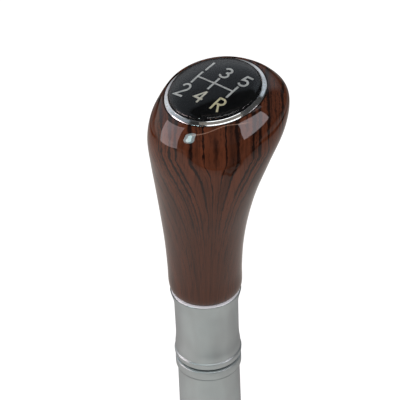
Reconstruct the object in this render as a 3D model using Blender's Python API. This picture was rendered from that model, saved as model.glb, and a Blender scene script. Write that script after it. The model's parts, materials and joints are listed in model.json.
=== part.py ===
# Swagger cane whose handle has the shape of a gear lever knob.
# It stands upright, +Z up and +X towards the nose of the handle, with the origin at the centre of
# the flat foot of its rubber tip. Lengths are in metres.
# From the floor up it holds the rubber tip, the lower shaft with its threaded stud, a seam ring,
# the upper shaft with its threaded bush and collar, and the handle, whose own collar screws in.

import math

import bmesh
import bpy
from mathutils import Matrix, Vector

# Clearances
GAP = 0.0003  # between pieces that touch
THREAD_GAP = 0.00025  # radial, between a male and a female thread

# Lengths along the cane
LOWER_REACH = 0.398  # floor to the top of the lower shaft
SEAM_RING_HEIGHT = 0.003
UPPER_REACH = 0.350  # top of the seam ring to the foot of the lower collar
LOWER_COLLAR_LENGTH = 0.0495
UPPER_COLLAR_LENGTH = 0.0356

# Rubber tip
FERRULE_HEIGHT = 0.038
FERRULE_BELLY = 0.0040  # how far its widest part stands out from the tip of the shaft
FERRULE_MOUTH = 0.0010  # wall at its mouth
FERRULE_LIP_HEIGHT = 0.0035
FERRULE_FOOT_ROUND = 0.0042
FERRULE_FLOOR = 0.0085
WASHER_THICKNESS = 0.0012
WASHER_HOLE_RADIUS = 0.0022

# Shafts
TIP_RADIUS = 0.0060
SEAM_RADIUS = 0.0097
TOP_RADIUS = 0.0106
LOWER_TAPER_POWER = 1.2  # over 1 keeps the taper slim near the tip
SHAFT_EDGE = 0.0006  # chamfer on the ends that meet the seam ring

# Joint half way up the shaft
STUD_CREST_RADIUS = 0.0049
STUD_PITCH = 0.0020
STUD_DEPTH = 0.0010
STUD_LENGTH = 0.0160  # threaded part, above the lower shaft
STUD_ANCHOR_LENGTH = 0.0220  # plain part, inside the lower shaft
SOCKET_WALL = 0.0018
SOCKET_END = 0.0080  # solid end of the bush, above its thread
SEAM_RING_PROUD = 0.0002

# Lower collar
SLEEVE_WALL = 0.0020
SLEEVE_FOOT_FLARE = 0.0004
SLEEVE_FOOT_HEIGHT = 0.0030
RIM_FLARE = 0.0008
RIM_HEIGHT = 0.0042
THREAD_WALL = 0.0025  # from the crest of the stub to the outside of the collar
COLLAR_CHAMBER = 0.0080  # free height under the stub, down to the top of the upper shaft

# Upper collar
NECK_RADIUS = 0.0133
NECK_TAPER = 0.0002  # how much slimmer the neck is just above the skirt
NECK_WALL = 0.0020
LIP_FLARE = 0.0013
LIP_BAND = 0.0022  # height of the widest part of the lip
LIP_HEIGHT = 0.0060
SKIRT_FLARE = 0.0007  # over the neck, on the low skirt above the bevel
SKIRT_HEIGHT = 0.0104
BEVEL_HEIGHT = 0.0026
BEVEL_SEAT = 0.0012  # how far the bevel sits inside the mouth of the lower collar
STUB_PITCH = 0.00125
STUB_DEPTH = 0.00077
STUB_LENGTH = 0.0130
TENON_LENGTH = 0.0220
COLLAR_WEB = 0.0050  # floor between the tenon and the counterbore

# Bolt that holds the collar to the wood
BOLT_RADIUS = 0.0025
BOLT_HEAD_SHOULDER = 0.0020
BOLT_HEAD_HEIGHT = 0.0040
BOLT_KEY_WIDTH = 0.0040  # across the flats of the hexagon socket
BOLT_KEY_DEPTH = 0.0020
WASHER_OVERHANG = 0.0010
BOLT_WASHER_THICKNESS = 0.0010
COUNTERBORE_ROOM = 0.0013  # from the washer to the wall of the counterbore
INSERT_WALL = 0.0014
INSERT_LENGTH = 0.0140
INSERT_END = 0.0050  # solid end of the insert, above its hole

# Wooden knob, as sections from its foot towards its shoulder:
# height and reach at the back, height and reach at the nose, half of its depth
KNOB_SECTIONS = (
    (0.0000, -0.0140, 0.0000, 0.0140, 0.0141),
    (0.0011, -0.0146, 0.0011, 0.0146, 0.0151),
    (0.0039, -0.0151, 0.0039, 0.0151, 0.0160),
    (0.0119, -0.0152, 0.0129, 0.0152, 0.0169),
    (0.0239, -0.0157, 0.0269, 0.0162, 0.0189),
    (0.0369, -0.0168, 0.0409, 0.0186, 0.0213),
    (0.0499, -0.0181, 0.0559, 0.0227, 0.0244),
    (0.0629, -0.0196, 0.0699, 0.0291, 0.0266),
    (0.0749, -0.0207, 0.0819, 0.0356, 0.0270),
    (0.0839, -0.0194, 0.0914, 0.0375, 0.0256),
    (0.0899, -0.0167, 0.0969, 0.0343, 0.0234),
)
KNOB_RINGS_PER_SECTION = 2

# Dial on top of the knob
DIAL_X = 0.0076  # centre of the dial, from the axis of the cane
DIAL_HEIGHT = 0.0970  # above the foot of the wood
DIAL_TILT = math.radians(9.1)  # rises towards the nose
DIAL_TURN = math.radians(27.3)  # how far the marks are turned from the nose, about the dial
BEZEL_RADIUS = 0.0210
BEZEL_WIDTH = 0.0019
BEZEL_PROUD = 0.0012
BEZEL_SEAT = 0.0022
WOOD_RIM = 0.0007  # wood between the bezel and the shoulder of the knob
PAD_THICKNESS = 0.0008
PLATE_THICKNESS = 0.0010
MARK_THICKNESS = 0.0003
LENS_EDGE = 0.0008
LENS_CROWN = 0.0032

# Marks on the dial, as shares of the radius of its disc: x to their right, y up them
STROKE = 0.046
CROSS_STROKE = 0.034  # the bar that joins the upright ones is thinner
GATE_COLUMNS = (-0.551, -0.087, 0.429)
GATE_MIDDLE = 0.076  # height of the middle of the upright bars
GATE_BAR = 0.385
CROSS_RISE = 0.022  # from the middle of the upright bars to the bar that joins them
UPPER_NUMERAL_HEIGHT = 0.335
UPPER_NUMERAL_SPACE = 0.037  # from a numeral to the end of its bar
UPPER_NUMERAL_SHIFT = 0.018  # of the upper numerals, to the right of their bars
LOWER_NUMERAL_HEIGHT = 0.405
LOWER_NUMERAL_SPACE = 0.042
NUMERAL_WIDTH = 0.263

# Facets
SHAFT_SEGMENTS = 28
COLLAR_SEGMENTS = 32
KNOB_SEGMENTS = 40
STUB_SEGMENTS = 18
STUD_SEGMENTS = 14
SMALL_SEGMENTS = 18

# Radii that follow from the sizes above
SLEEVE_RADIUS = TOP_RADIUS + GAP + SLEEVE_WALL
STUB_CREST_RADIUS = SLEEVE_RADIUS - THREAD_WALL
SKIRT_RADIUS = NECK_RADIUS + SKIRT_FLARE
TENON_RADIUS = NECK_RADIUS - NECK_WALL - GAP
BOLT_HOLE_RADIUS = BOLT_RADIUS + GAP
BOLT_HEAD_RADIUS = BOLT_RADIUS + BOLT_HEAD_SHOULDER
BOLT_WASHER_RADIUS = BOLT_HEAD_RADIUS + WASHER_OVERHANG
INSERT_RADIUS = BOLT_HOLE_RADIUS + INSERT_WALL
SOCKET_RADIUS = STUD_CREST_RADIUS + THREAD_GAP + SOCKET_WALL
DISC_RADIUS = BEZEL_RADIUS - BEZEL_WIDTH - GAP

# Heights that follow from the sizes above
SHAFT_TIP_Z = FERRULE_FLOOR + WASHER_THICKNESS + 2 * GAP
SEAM_Z = LOWER_REACH + GAP
UPPER_FOOT_Z = SEAM_Z + SEAM_RING_HEIGHT + GAP
STUD_CUT_TOP_Z = LOWER_REACH + STUD_LENGTH + STUD_PITCH
SOCKET_TOP_Z = STUD_CUT_TOP_Z + STUD_DEPTH + SOCKET_END
COLLAR_FOOT_Z = SEAM_Z + SEAM_RING_HEIGHT + UPPER_REACH
COLLAR_TOP_Z = COLLAR_FOOT_Z + LOWER_COLLAR_LENGTH
BEVEL_Z = COLLAR_TOP_Z - BEVEL_SEAT  # where the bevel meets the stub
STUB_FOOT_Z = BEVEL_Z - STUB_LENGTH
CHAMBER_TOP_Z = STUB_FOOT_Z - STUB_PITCH
SPIGOT_TOP_Z = CHAMBER_TOP_Z - COLLAR_CHAMBER
WOOD_Z = COLLAR_TOP_Z + UPPER_COLLAR_LENGTH
TENON_FOOT_Z = WOOD_Z + GAP - TENON_LENGTH
WEB_TOP_Z = TENON_FOOT_Z - GAP
WEB_FOOT_Z = WEB_TOP_Z - COLLAR_WEB
INSERT_TOP_Z = TENON_FOOT_Z + INSERT_LENGTH
BOLT_TOP_Z = INSERT_TOP_Z - INSERT_END
DIAL_PLACE = Matrix.Translation((DIAL_X, 0, WOOD_Z + DIAL_HEIGHT)) @ Matrix.Rotation(-DIAL_TILT, 4, "Y")


def clear_scene():
    for thing in list(bpy.data.objects):
        bpy.data.objects.remove(thing, do_unlink=True)


def material(name, colour, roughness, metallic=0.0, alpha=1.0):
    made = bpy.data.materials.new(name)
    made.use_nodes = True
    shader = made.node_tree.nodes["Principled BSDF"]
    shader.inputs["Base Color"].default_value = (*colour, 1.0)
    shader.inputs["Roughness"].default_value = roughness
    shader.inputs["Metallic"].default_value = metallic
    shader.inputs["Alpha"].default_value = alpha
    made.diffuse_color = (*colour, alpha)
    return made


def finished(name, shape, finish=None):
    """The object of a bmesh, closed, facing out and shaded smooth but for its sharp edges."""
    bmesh.ops.remove_doubles(shape, verts=shape.verts, dist=1e-7)
    bmesh.ops.recalc_face_normals(shape, faces=shape.faces)
    if shape.calc_volume(signed=True) < 0:
        bmesh.ops.reverse_faces(shape, faces=shape.faces)
    mesh = bpy.data.meshes.new(name)
    shape.to_mesh(mesh)
    shape.free()
    mesh.shade_smooth()
    mesh.set_sharp_from_angle(angle=math.radians(35))
    made = bpy.data.objects.new(name, mesh)
    bpy.context.scene.collection.objects.link(made)
    if finish:
        mesh.materials.append(finish)
    return made


def helper(thing):
    thing.hide_render = True
    thing.display_type = "WIRE"
    return thing


def combine(target, other, operation):
    step = target.modifiers.new(f"{operation.lower()} {other.name}", "BOOLEAN")
    step.operation = operation
    step.solver = "EXACT"
    step.object = helper(other)


def turned(name, outline, segments, finish=None, place=Matrix.Identity(4)):
    """A solid of revolution about Z. An outline of (radius, height) whose ends lie on the axis is
    spun as it is, and any other is closed first, which makes a ring."""
    shape = bmesh.new()
    points = [shape.verts.new((radius, 0, height)) for radius, height in outline]
    pairs = list(zip(points, points[1:]))
    if outline[0][0] > 0 or outline[-1][0] > 0:
        pairs.append((points[-1], points[0]))
    edges = [shape.edges.new(pair) for pair in pairs]
    bmesh.ops.spin(shape, geom=points + edges, cent=(0, 0, 0), axis=(0, 0, 1),
                   angle=2 * math.pi, steps=segments, use_merge=True)
    shape.transform(place)
    return finished(name, shape, finish)


def arc(centre, radius, start, end, steps):
    """Points on an arc, from start to end in degrees, both included."""
    turns = [math.radians(start + (end - start) * step / steps) for step in range(steps + 1)]
    return [(centre[0] + radius * math.cos(turn), centre[1] + radius * math.sin(turn)) for turn in turns]


def threaded_rod(name, crest, depth, pitch, heights, segments, finish=None):
    """A rod with a helical ridge that fades out at both ends. Heights are those of its foot, the
    start of the ridge, the most that the ridge may reach, and the top."""
    foot, start, limit, top = heights
    root = crest - depth
    profile = ((0.0, root), (0.25, root), (0.5625, crest), (0.6875, crest))
    fade = segments // 4
    turns = max(math.floor((limit - start) / pitch) - 1, 1)
    last = turns * segments
    shape = bmesh.new()

    def vertex(step, height, radius):
        angle = 2 * math.pi * step / segments
        return shape.verts.new((radius * math.cos(angle), radius * math.sin(angle), height))

    ridge = []
    for step in range(last + 1):
        strength = min(1.0, step / fade, (last - step) / fade)
        row = [vertex(step, start + pitch * (step / segments + part), root + (radius - root) * strength)
               for part, radius in profile]
        ridge.append(row)
    upper = {step: ridge[step + segments][0] for step in range(last - segments + 1)}
    for step in range(last - segments + 1, last + 1):
        upper[step] = vertex(step, start + pitch * (step / segments + 1), root)
    for step in range(last):
        here, after = [*ridge[step], upper[step]], [*ridge[step + 1], upper[step + 1]]
        for low in range(len(profile)):
            shape.faces.new((here[low], after[low], after[low + 1], here[low + 1]))
    floor = [vertex(step, foot, root) for step in range(segments)]
    roof = [vertex(last + step, top, root) for step in range(segments)]
    for step in range(segments - 1):
        shape.faces.new((floor[step], floor[step + 1], ridge[step + 1][0], ridge[step][0]))
    shape.faces.new((floor[-1], floor[0], *ridge[0], ridge[segments][0], ridge[segments - 1][0]))
    first = last - segments
    edge = [upper[first + step] for step in range(segments + 1)]
    shape.faces.new((edge[0], edge[1], roof[1], roof[0], edge[-1], *reversed(ridge[last][1:])))
    for step in range(1, segments):
        shape.faces.new((edge[step], edge[step + 1], roof[(step + 1) % segments], roof[step]))
    shape.faces.new(reversed(floor))
    shape.faces.new(roof)
    return finished(name, shape, finish)


def lower_radius(height):
    """Radius of the lower shaft at a height."""
    share = (height - SHAFT_TIP_Z) / (LOWER_REACH - SHAFT_TIP_Z)
    return TIP_RADIUS + (SEAM_RADIUS - TIP_RADIUS) * max(share, 0.0) ** LOWER_TAPER_POWER


def make_ferrule(rubber, steel):
    """The rubber tip, with the shaft's socket in it, and the steel disc on its floor."""
    bore = TIP_RADIUS + GAP
    mouth = lower_radius(FERRULE_HEIGHT) + GAP
    belly = bore + FERRULE_BELLY
    throat = mouth + FERRULE_MOUTH
    neck = FERRULE_HEIGHT - FERRULE_LIP_HEIGHT
    foot_round = arc((belly - FERRULE_FOOT_ROUND, FERRULE_FOOT_ROUND), FERRULE_FOOT_ROUND, -90, 0, 6)
    sides = [(belly + (throat - belly) * share ** 2.4, FERRULE_FOOT_ROUND + (neck - FERRULE_FOOT_ROUND) * share)
             for share in (0.3, 0.5, 0.7, 0.85, 1.0)]
    outline = [(0, 0), *foot_round, *sides, (throat, FERRULE_HEIGHT - FERRULE_MOUTH / 2),
               (throat - FERRULE_MOUTH / 2, FERRULE_HEIGHT), (mouth, FERRULE_HEIGHT), (bore, SHAFT_TIP_Z),
               (bore, FERRULE_FLOOR), (0, FERRULE_FLOOR)]
    turned("rubber_ferrule", outline, SHAFT_SEGMENTS, rubber)
    low, high = FERRULE_FLOOR + GAP, FERRULE_FLOOR + GAP + WASHER_THICKNESS
    turned("ferrule_washer",
           [(WASHER_HOLE_RADIUS, low), (TIP_RADIUS, low), (TIP_RADIUS, high), (WASHER_HOLE_RADIUS, high)],
           SMALL_SEGMENTS, steel)


def make_lower_shaft(lacquer, brass):
    heights = [SHAFT_TIP_Z + (LOWER_REACH - SHAFT_EDGE - SHAFT_TIP_Z) * step / 8 for step in range(9)]
    hole = STUD_CREST_RADIUS - STUD_DEPTH + GAP
    anchor = LOWER_REACH - STUD_ANCHOR_LENGTH
    outline = [(0, SHAFT_TIP_Z)] + [(lower_radius(height), height) for height in heights]
    outline += [(SEAM_RADIUS - SHAFT_EDGE, LOWER_REACH), (hole, LOWER_REACH), (hole, anchor), (0, anchor)]
    turned("lower_shaft", outline, SHAFT_SEGMENTS, lacquer)
    top = LOWER_REACH + STUD_LENGTH
    threaded_rod("coupling_stud", STUD_CREST_RADIUS, STUD_DEPTH, STUD_PITCH,
                 (anchor + GAP, SEAM_Z, top, top + STUD_DEPTH), STUD_SEGMENTS, brass)


def make_seam_ring(chrome):
    bore = STUD_CREST_RADIUS + GAP
    rim = SEAM_RADIUS + SEAM_RING_PROUD
    top = SEAM_Z + SEAM_RING_HEIGHT
    edge = SHAFT_EDGE / 2
    turned("seam_ring", [(bore, SEAM_Z), (rim - edge, SEAM_Z), (rim, SEAM_Z + edge), (rim, top - edge),
                         (rim - edge, top), (bore, top)], SHAFT_SEGMENTS, chrome)


def make_upper_shaft(lacquer, brass):
    pocket = SOCKET_RADIUS + GAP
    pocket_top = SOCKET_TOP_Z + GAP
    turned("upper_shaft",
           [(0, pocket_top), (pocket, pocket_top), (pocket, UPPER_FOOT_Z),
            (SEAM_RADIUS - SHAFT_EDGE, UPPER_FOOT_Z), (SEAM_RADIUS, UPPER_FOOT_Z + SHAFT_EDGE),
            (TOP_RADIUS, COLLAR_FOOT_Z), (TOP_RADIUS, SPIGOT_TOP_Z - SHAFT_EDGE),
            (TOP_RADIUS - SHAFT_EDGE, SPIGOT_TOP_Z), (0, SPIGOT_TOP_Z)], SHAFT_SEGMENTS, lacquer)

    foot = UPPER_FOOT_Z + GAP
    socket = turned("coupling_socket", [(0, foot), (SOCKET_RADIUS, foot), (SOCKET_RADIUS, SOCKET_TOP_Z),
                                        (0, SOCKET_TOP_Z)], SMALL_SEGMENTS, brass)
    start = SEAM_Z - STUD_PITCH
    cutter = threaded_rod("stud_thread_cutter", STUD_CREST_RADIUS + THREAD_GAP, STUD_DEPTH, STUD_PITCH,
                          (start - STUD_DEPTH, start, STUD_CUT_TOP_Z, STUD_CUT_TOP_Z + STUD_DEPTH), STUD_SEGMENTS)
    combine(socket, cutter, "DIFFERENCE")


def make_lower_collar(silver):
    """The sleeve on the upper shaft, with the female thread and a countersunk mouth."""
    foot, top = COLLAR_FOOT_Z, COLLAR_TOP_Z
    foot_top = foot + SLEEVE_FOOT_HEIGHT
    rim_foot = top - RIM_HEIGHT
    flare = SLEEVE_RADIUS + SLEEVE_FOOT_FLARE
    rim = SLEEVE_RADIUS + RIM_FLARE
    bore = TOP_RADIUS + GAP
    chamber = STUB_CREST_RADIUS + 2 * GAP
    edge = 2 * GAP
    collar = turned("lower_collar",
                    [(0, CHAMBER_TOP_Z), (chamber, CHAMBER_TOP_Z), (chamber, SPIGOT_TOP_Z + GAP),
                     (bore, SPIGOT_TOP_Z + GAP), (bore, foot), (flare - GAP, foot), (flare, foot + GAP),
                     (flare, foot_top - SLEEVE_FOOT_FLARE), (SLEEVE_RADIUS, foot_top),
                     (SLEEVE_RADIUS, rim_foot - RIM_FLARE), (rim, rim_foot), (rim, top - edge),
                     (rim - edge, top), (0, top)], COLLAR_SEGMENTS, silver)
    start = STUB_FOOT_Z + STUB_DEPTH - 3 * STUB_PITCH
    limit = top + STUB_PITCH
    cutter = threaded_rod("stub_thread_cutter", STUB_CREST_RADIUS + THREAD_GAP, STUB_DEPTH, STUB_PITCH,
                          (start - STUB_DEPTH, start, limit, limit + STUB_PITCH), STUB_SEGMENTS)
    combine(collar, cutter, "DIFFERENCE")
    slope = (SKIRT_RADIUS - STUB_CREST_RADIUS) / BEVEL_HEIGHT
    mouth = STUB_CREST_RADIUS + slope * (BEVEL_SEAT + GAP)
    countersink = turned("mouth_cutter",
                         [(0, BEVEL_Z - GAP), (STUB_CREST_RADIUS, BEVEL_Z - GAP), (mouth, top),
                          (mouth + slope * edge, top + edge), (0, top + edge)], COLLAR_SEGMENTS)
    combine(collar, countersink, "DIFFERENCE")


def make_upper_collar(silver):
    """The sleeve under the wood: lip, neck, skirt, bevel and the threaded stub, all one piece."""
    skirt_foot = BEVEL_Z + BEVEL_HEIGHT
    waist = NECK_RADIUS - NECK_TAPER
    swell = [(waist + (SKIRT_RADIUS - waist) * flare, skirt_foot + SKIRT_HEIGHT * share)
             for share, flare in ((0.07, 0.92), (0.3, 1.0), (0.55, 0.96), (0.7, 0.78), (0.85, 0.3))]
    lip = NECK_RADIUS + LIP_FLARE
    outline = [(0, BEVEL_Z), (STUB_CREST_RADIUS, BEVEL_Z), (SKIRT_RADIUS - GAP, skirt_foot), *swell,
               (waist, skirt_foot + SKIRT_HEIGHT), (NECK_RADIUS, WOOD_Z - LIP_HEIGHT),
               (lip - GAP, WOOD_Z - LIP_BAND), (lip, WOOD_Z - GAP), (lip, WOOD_Z), (0, WOOD_Z)]
    collar = turned("upper_collar", outline, COLLAR_SEGMENTS, silver)
    stub = threaded_rod("stub_thread", STUB_CREST_RADIUS, STUB_DEPTH, STUB_PITCH,
                        (STUB_FOOT_Z, STUB_FOOT_Z + STUB_DEPTH, BEVEL_Z - GAP, BEVEL_Z + STUB_PITCH),
                        STUB_SEGMENTS)
    combine(collar, stub, "UNION")
    beyond = 2 * STUB_PITCH
    counterbore = BOLT_WASHER_RADIUS + COUNTERBORE_ROOM
    tenon_bore = TENON_RADIUS + GAP
    bore = turned("collar_bore_cutter",
                  [(0, STUB_FOOT_Z - beyond), (counterbore, STUB_FOOT_Z - beyond), (counterbore, WEB_FOOT_Z),
                   (BOLT_HOLE_RADIUS, WEB_FOOT_Z), (BOLT_HOLE_RADIUS, WEB_TOP_Z), (tenon_bore, WEB_TOP_Z),
                   (tenon_bore, WOOD_Z + beyond), (0, WOOD_Z + beyond)], COLLAR_SEGMENTS)
    combine(collar, bore, "DIFFERENCE")


def make_bolt(steel, brass):
    """The socket screw, its washer and the threaded insert in the wood."""
    washer_top = WEB_FOOT_Z - GAP
    washer_foot = washer_top - BOLT_WASHER_THICKNESS
    turned("bolt_washer", [(BOLT_HOLE_RADIUS, washer_foot), (BOLT_WASHER_RADIUS, washer_foot),
                           (BOLT_WASHER_RADIUS, washer_top), (BOLT_HOLE_RADIUS, washer_top)],
           SMALL_SEGMENTS, steel)

    head_top = washer_foot - GAP
    head_foot = head_top - BOLT_HEAD_HEIGHT
    bolt = turned("handle_bolt",
                  [(0, head_foot), (BOLT_HEAD_RADIUS - GAP, head_foot), (BOLT_HEAD_RADIUS, head_foot + GAP),
                   (BOLT_HEAD_RADIUS, head_top), (BOLT_RADIUS, head_top), (BOLT_RADIUS, BOLT_TOP_Z - GAP),
                   (BOLT_RADIUS - GAP, BOLT_TOP_Z), (0, BOLT_TOP_Z)], SMALL_SEGMENTS, steel)
    key = bmesh.new()
    corner = BOLT_KEY_WIDTH / math.sqrt(3)
    bmesh.ops.create_cone(key, cap_ends=True, segments=6, radius1=corner, radius2=corner,
                          depth=2 * BOLT_KEY_DEPTH, matrix=Matrix.Translation((0, 0, head_foot)))
    combine(bolt, finished("bolt_key_cutter", key), "DIFFERENCE")

    turned("knob_insert",
           [(0, BOLT_TOP_Z + GAP), (BOLT_HOLE_RADIUS, BOLT_TOP_Z + GAP), (BOLT_HOLE_RADIUS, TENON_FOOT_Z),
            (INSERT_RADIUS, TENON_FOOT_Z), (INSERT_RADIUS, INSERT_TOP_Z), (0, INSERT_TOP_Z)],
           SMALL_SEGMENTS, brass)


def smooth_between(values, share):
    """A smooth curve through evenly spaced values, at a share from 0 to 1 of its way."""
    spans = len(values) - 1
    index = min(int(share * spans), spans - 1)
    t = share * spans - index
    before = values[max(index - 1, 0)]
    low, high = values[index], values[index + 1]
    after = values[min(index + 2, spans)]
    return low + 0.5 * t * (high - before + t * (2 * before - 5 * low + 4 * high - after
                                                 + t * (3 * (low - high) + after - before)))


def make_knob(wood):
    """The wooden knob: sections that lean back as they climb, its top cut for the dial."""
    rim = BEZEL_RADIUS + WOOD_RIM
    rise = rim * math.sin(DIAL_TILT)
    run = rim * math.cos(DIAL_TILT)
    shoulder = (DIAL_HEIGHT - rise, DIAL_X - run, DIAL_HEIGHT + rise, DIAL_X + run, rim)
    columns = list(zip(*KNOB_SECTIONS, shoulder))
    count = len(KNOB_SECTIONS) * KNOB_RINGS_PER_SECTION
    rings = []
    shape = bmesh.new()
    for ring in range(count + 1):
        back_z, back_x, nose_z, nose_x, depth = (smooth_between(column, ring / count) for column in columns)
        centre = Vector(((back_x + nose_x) / 2, 0, (back_z + nose_z) / 2))
        reach = Vector(((nose_x - back_x) / 2, 0, (nose_z - back_z) / 2))
        rings.append([shape.verts.new(centre + reach * math.cos(angle) + Vector((0, depth * math.sin(angle), 0)))
                      for angle in (2 * math.pi * side / KNOB_SEGMENTS for side in range(KNOB_SEGMENTS))])
    for low, high in zip(rings, rings[1:]):
        for side in range(KNOB_SEGMENTS):
            after = (side + 1) % KNOB_SEGMENTS
            shape.faces.new((low[side], low[after], high[after], high[side]))
    shape.faces.new(reversed(rings[0]))
    shape.faces.new(rings[-1])
    bmesh.ops.translate(shape, vec=(0, 0, WOOD_Z + GAP), verts=shape.verts)
    knob = finished("handle_knob", shape, wood)

    buried = WOOD_Z + KNOB_SECTIONS[1][0]
    tenon = turned("tenon", [(0, TENON_FOOT_Z), (TENON_RADIUS - GAP, TENON_FOOT_Z),
                             (TENON_RADIUS, TENON_FOOT_Z + GAP), (TENON_RADIUS, buried), (0, buried)],
                   COLLAR_SEGMENTS)
    combine(knob, tenon, "UNION")
    pocket = turned("insert_cutter", [(0, TENON_FOOT_Z - GAP), (INSERT_RADIUS + GAP, TENON_FOOT_Z - GAP),
                                      (INSERT_RADIUS + GAP, INSERT_TOP_Z + GAP), (0, INSERT_TOP_Z + GAP)],
                    SMALL_SEGMENTS)
    combine(knob, pocket, "DIFFERENCE")
    recess = BEZEL_RADIUS + GAP
    floor = -BEZEL_SEAT - GAP
    combine(knob, turned("dial_cutter", [(0, floor), (recess, floor), (recess, BEZEL_SEAT), (0, BEZEL_SEAT)],
                         KNOB_SEGMENTS, place=DIAL_PLACE), "DIFFERENCE")


def make_dial(chrome, foam, gloss_black, clear):
    """The stack in the recess, from its floor: pad, plate, marks and clear dome, with the bezel
    round them. It gives back the height of the marks, from the plane of the dial."""
    bead = BEZEL_WIDTH / 2
    ridge = arc((BEZEL_RADIUS - bead, BEZEL_PROUD - bead), bead, 0, 180, 6)
    turned("bezel_ring", [(BEZEL_RADIUS - BEZEL_WIDTH, -BEZEL_SEAT), (BEZEL_RADIUS, -BEZEL_SEAT), *ridge],
           KNOB_SEGMENTS, chrome, DIAL_PLACE)
    plate_level = PAD_THICKNESS - BEZEL_SEAT + GAP
    marks_level = plate_level + PLATE_THICKNESS + GAP
    lens_level = marks_level + MARK_THICKNESS + GAP
    for name, level, thickness, finish in (("dial_pad", -BEZEL_SEAT, PAD_THICKNESS, foam),
                                           ("dial_plate", plate_level, PLATE_THICKNESS, gloss_black)):
        turned(name, [(0, level), (DISC_RADIUS, level), (DISC_RADIUS, level + thickness), (0, level + thickness)],
               KNOB_SEGMENTS, finish, DIAL_PLACE)
    rim_level = lens_level + LENS_EDGE
    dome = [(DISC_RADIUS * math.cos(turn), rim_level + LENS_CROWN * math.sin(turn))
            for turn in (math.pi / 2 * step / 7 for step in range(7))]
    turned("dial_lens", [(0, lens_level), (DISC_RADIUS, lens_level), *dome, (0, rim_level + LENS_CROWN)],
           KNOB_SEGMENTS, clear, DIAL_PLACE)
    return marks_level


def stroke(name, points, level, finish=None, inset=0.0, width=STROKE):
    """A flat stroke of even width along points, (right, up) in shares of the disc. Inset takes a
    little off its top and its foot, so that strokes that cross share no face."""
    line = [DISC_RADIUS * Vector(point) for point in points]
    sides = ([], [])
    for index, point in enumerate(line):
        into = (point - line[index - 1]).normalized() if index else None
        out = (line[index + 1] - point).normalized() if index + 1 < len(line) else None
        along = ((into or out) + (out or into)).normalized()
        across = Vector((-along.y, along.x))
        reach = DISC_RADIUS * width / 2 / max(along.dot(out or into), 0.5)
        sides[0].append(point + across * reach)
        sides[1].append(point - across * reach)
    shape = bmesh.new()
    corners = [shape.verts.new((point.y, -point.x, level + inset)) for point in sides[0] + sides[1][::-1]]
    grown = bmesh.ops.extrude_face_region(shape, geom=[shape.faces.new(corners)])["geom"]
    bmesh.ops.translate(shape, vec=(0, 0, MARK_THICKNESS - 2 * inset),
                        verts=[part for part in grown if isinstance(part, bmesh.types.BMVert)])
    shape.transform(DIAL_PLACE @ Matrix.Rotation(DIAL_TURN, 4, "Z"))
    return finished(name, shape, finish)


def mark(name, strokes, level, finish, first_width=STROKE):
    """One mark: its first stroke, with the others united to it."""
    made = stroke(name, strokes[0], level, finish, width=first_width)
    for number, points in enumerate(strokes[1:], 1):
        inset = number * MARK_THICKNESS / 20
        combine(made, stroke(f"{name}_stroke_{number}", points, level, inset=inset), "UNION")


def glyphs():
    """The strokes of each numeral, on a box one wide and one high with its corner at 0, 0."""
    def bowl(centre, across, up, start, end):
        return [(centre[0] + across * x, centre[1] + up * y) for x, y in arc((0, 0), 1, start, end, 9)]

    two = [*bowl((0.5, 0.72), 0.42, 0.28, 170, -35), (0.02, 0.0), (0.98, 0.0)]
    three = [bowl((0.46, 0.76), 0.40, 0.24, 160, -88), bowl((0.46, 0.27), 0.46, 0.27, 92, -160)]
    five = [(0.90, 1.0), (0.22, 1.0), (0.12, 0.56), *bowl((0.47, 0.31), 0.45, 0.31, 105, -150)]
    letter = [[(0.08, 0.0), (0.08, 1.0)],
              [(0.08, 0.97), (0.5, 0.97), *bowl((0.5, 0.74), 0.40, 0.23, 80, -80), (0.5, 0.51), (0.08, 0.51)],
              [(0.45, 0.51), (0.95, 0.0)]]
    return {
        "numeral_1": [[(0.5, 0.0), (0.5, 1.0)]],
        "numeral_2": [two],
        "numeral_3": three,
        "numeral_4": [[(0.72, 0.97), (0.0, 0.34), (1.0, 0.34)], [(0.72, 0.0), (0.72, 1.0)]],
        "numeral_5": [five],
        "letter_R": letter,
    }


def make_marks(silver_foil, level):
    """The shift gate and its numerals, in two rows, above the bars and below them."""
    bar_foot, bar_head = GATE_MIDDLE - GATE_BAR / 2, GATE_MIDDLE + GATE_BAR / 2
    cross = GATE_MIDDLE + CROSS_RISE
    bars = [[(x, bar_foot), (x, bar_head)] for x in GATE_COLUMNS]
    mark("shift_gate", [[(GATE_COLUMNS[0], cross), (GATE_COLUMNS[-1], cross)], *bars], level, silver_foil,
         CROSS_STROKE)
    foot = bar_head + UPPER_NUMERAL_SPACE + STROKE / 2
    upper = (UPPER_NUMERAL_SHIFT, foot, foot + UPPER_NUMERAL_HEIGHT - STROKE)
    head = bar_foot - LOWER_NUMERAL_SPACE - STROKE / 2
    lower = (0.0, head - LOWER_NUMERAL_HEIGHT + STROKE, head)
    rows = {"numeral_1": (0, upper), "numeral_3": (1, upper), "numeral_5": (2, upper),
            "numeral_2": (0, lower), "numeral_4": (1, lower), "letter_R": (2, lower)}
    for name, strokes in glyphs().items():
        column, (shift, low, high) = rows[name]
        middle = GATE_COLUMNS[column] + shift
        placed = [[(middle + (across - 0.5) * (NUMERAL_WIDTH - STROKE), low + up * (high - low))
                   for across, up in points] for points in strokes]
        mark(name, placed, level, silver_foil)


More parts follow.
